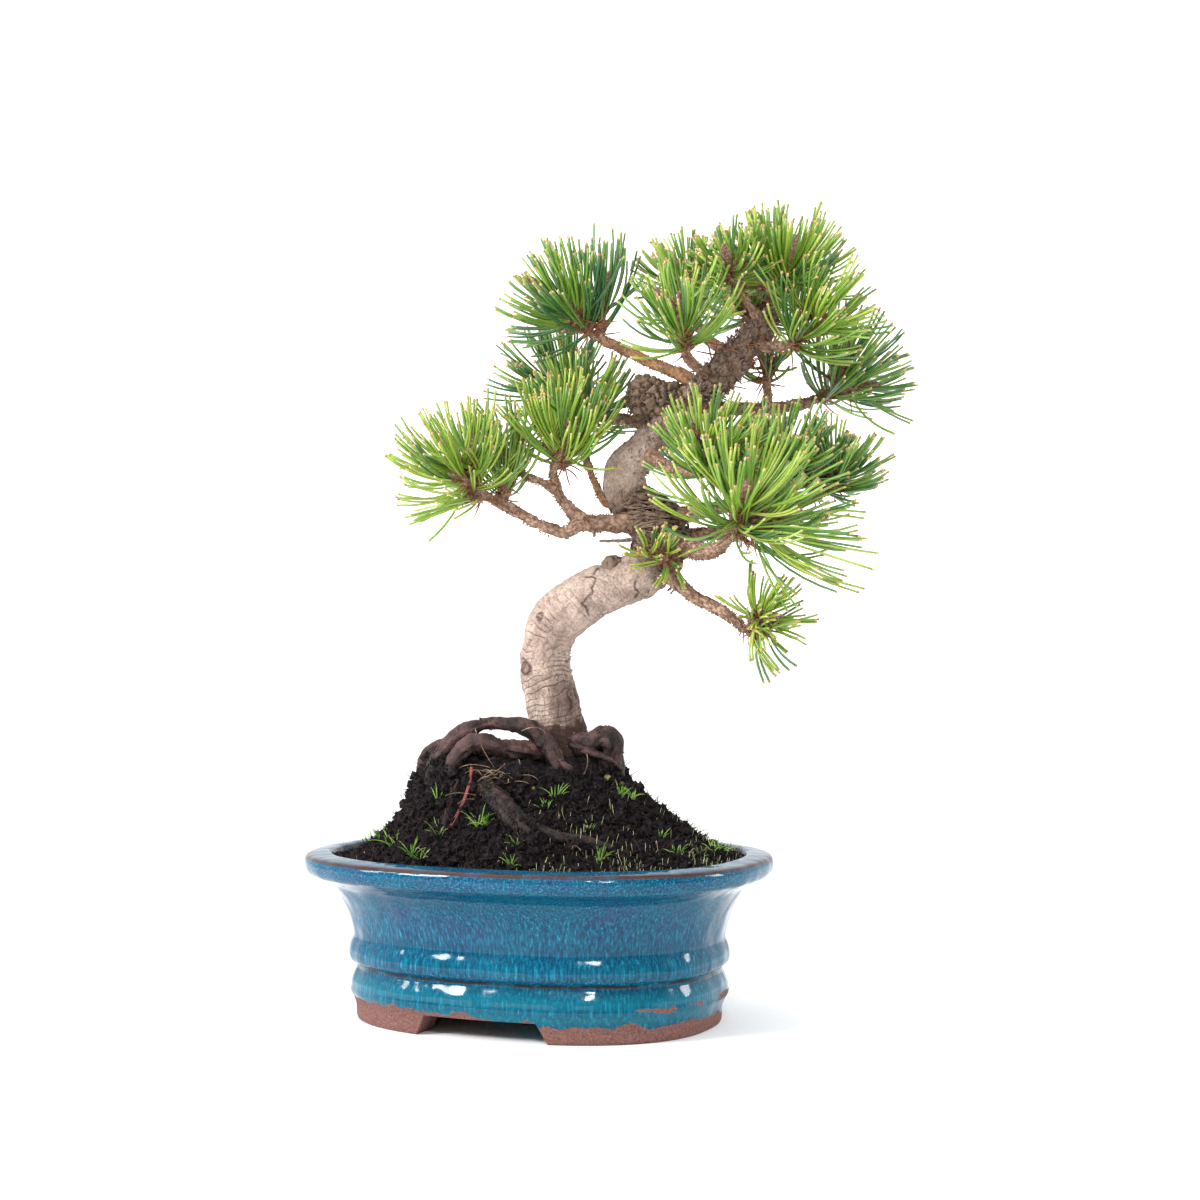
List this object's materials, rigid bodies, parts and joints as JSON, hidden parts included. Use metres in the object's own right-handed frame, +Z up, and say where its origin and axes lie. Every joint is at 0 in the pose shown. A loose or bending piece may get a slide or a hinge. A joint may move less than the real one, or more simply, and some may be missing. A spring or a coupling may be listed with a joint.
{
  "type": "japanese black pine bonsai in an oval glazed pot",
  "caption": "Japanese black pine bonsai with a curved leaning trunk, exposed roots, tapering boughs and masses of needles, on a soil mound in an oval blue glazed pot.",
  "frame": {"origin": "on the table, under the middle of the whole plant with its pot", "axes": "+Z up, -Y towards the front of the tree, +X to the right as seen from the front"},
  "size_m": [0.2431, 0.1597, 0.3157],
  "materials": {
    "glaze": "glossy blue glaze with fine drip streaks, bare terracotta clay on the feet",
    "soil": "dark crumbly potting soil",
    "bark_grey": "pale grey-brown ringed bark",
    "bark_brown": "rough dark brown bark",
    "bark_orange": "young orange-brown bark",
    "bark_root": "smooth dark brown roots",
    "needle_green": "mid green needles in pairs",
    "needle_bright": "bright yellow-green needles in pairs",
    "needle_dark": "dark blue-green needles in pairs"
  },
  "bodies": {
    "root": {"bough_back_high": "bark_brown", "bough_back_left": "bark_brown", "bough_back_right": "bark_brown", "bough_centre": "bark_brown", "bough_front": "bark_brown", "bough_front_left": "bark_brown", "bough_left": "bark_brown", "bough_left_twig": "bark_brown", "bough_left_upper": "bark_brown", "bough_low_right": "bark_brown", "bough_right_far": "bark_brown", "bough_right_middle": "bark_brown", "bough_right_outer": "bark_brown", "bough_right_upper": "bark_brown", "bough_thin": "bark_orange", "bough_top_left_front": "bark_brown", "bough_top_left_rear": "bark_brown", "bough_top_middle": "bark_brown", "bough_upper_left": "bark_orange", "mass_apex": "needle_bright", "mass_back_high": "needle_bright", "mass_back_left": "needle_dark", "mass_back_right": "needle_green", "mass_centre": "needle_green", "mass_front": "needle_bright", "mass_front_left": "needle_bright", "mass_knuckle_sprig": "needle_bright", "mass_left_far": "needle_bright", "mass_left_inner_high": "needle_dark", "mass_left_inner_low": "needle_green", "mass_left_middle": "needle_bright", "mass_right_far": "needle_dark", "mass_right_low": "needle_green", "mass_right_middle": "needle_green", "mass_right_outer": "needle_dark", "mass_right_upper": "needle_bright", "mass_top_left_front": "needle_green", "mass_top_left_rear": "needle_bright", "mass_top_middle": "needle_bright", "mass_upper_left": "needle_dark", "old_bough_stub": "bark_brown", "pot": "glaze", "root_arch": "bark_root", "root_front": "bark_root", "root_low_left": "bark_root", "root_outer_left": "bark_root", "root_right": "bark_root", "soil": "soil", "trunk": "bark_grey"}
  },
  "joints": []
}
